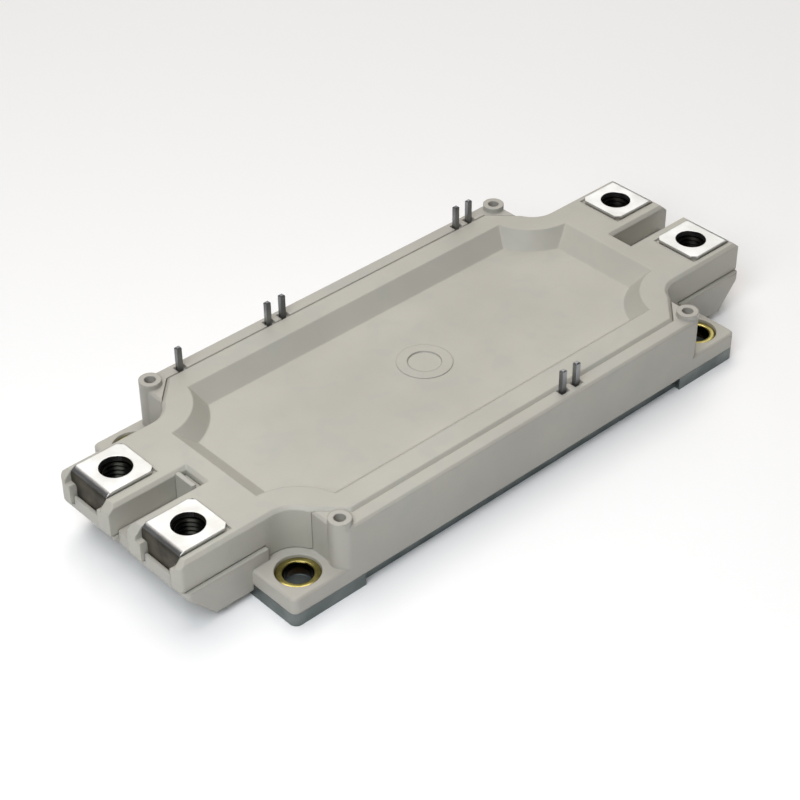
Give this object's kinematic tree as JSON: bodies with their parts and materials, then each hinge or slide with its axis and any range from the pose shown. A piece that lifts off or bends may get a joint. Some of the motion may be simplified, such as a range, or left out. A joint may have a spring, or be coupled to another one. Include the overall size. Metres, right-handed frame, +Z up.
{
  "type": "igbt power module",
  "caption": "Flat power transistor module with a metal base plate, dished grey lid, bolted terminals at both ends and signal pins along the long sides.",
  "frame": {"origin": "centre of the base plate's underside", "axes": "+X along the module from the supply terminals to the output terminals, +Y across it towards the side with five pins, +Z up from the base plate"},
  "size_m": [0.1528, 0.062, 0.021],
  "materials": {
    "nickel_plated_base": "matt nickel plating on copper",
    "frame_plastic": "fine moulded texture, grey filled polyester",
    "lid_plastic": "fine moulded texture, grey filled polyester",
    "brass": "turned, slightly dulled",
    "plated_strap": "satin nickel plating on copper",
    "zinc_steel": "zinc plated",
    "pin_metal": "dull plating on copper alloy",
    "bare_copper": "bare copper, satin",
    "ceramic": "fired, smooth",
    "chip_metal": "thin metal layer on silicon",
    "bond_aluminium": "drawn wire",
    "sensor_ceramic": "fired, smooth"
  },
  "bodies": {
    "root": {"base_plate": "nickel_plated_base", "frame": "frame_plastic", "lid": "lid_plastic", "bushing_1": "brass", "bushing_2": "brass", "bushing_3": "brass", "bushing_4": "brass", "supply_strap_near": "plated_strap", "supply_strap_far": "plated_strap", "output_strap_near": "plated_strap", "output_strap_far": "plated_strap", "terminal_nut_1": "zinc_steel", "terminal_nut_2": "zinc_steel", "terminal_nut_3": "zinc_steel", "terminal_nut_4": "zinc_steel", "signal_pin_1": "pin_metal", "signal_pin_2": "pin_metal", "signal_pin_3": "pin_metal", "signal_pin_4": "pin_metal", "signal_pin_5": "pin_metal", "signal_pin_6": "pin_metal", "signal_pin_7": "pin_metal", "lower_copper_left": "bare_copper", "ceramic_tile_left": "ceramic", "circuit_copper_left": "bare_copper", "transistor_chips_left": "chip_metal", "diode_chips_left": "chip_metal", "bond_wires_left": "bond_aluminium", "lower_copper_middle": "bare_copper", "ceramic_tile_middle": "ceramic", "circuit_copper_middle": "bare_copper", "transistor_chips_middle": "chip_metal", "diode_chips_middle": "chip_metal", "bond_wires_middle": "bond_aluminium", "lower_copper_right": "bare_copper", "ceramic_tile_right": "ceramic", "circuit_copper_right": "bare_copper", "transistor_chips_right": "chip_metal", "diode_chips_right": "chip_metal", "bond_wires_right": "bond_aluminium", "tile_bridges": "bare_copper", "temperature_sensor": "sensor_ceramic", "pin_bond_wires": "bond_aluminium"}
  },
  "joints": []
}
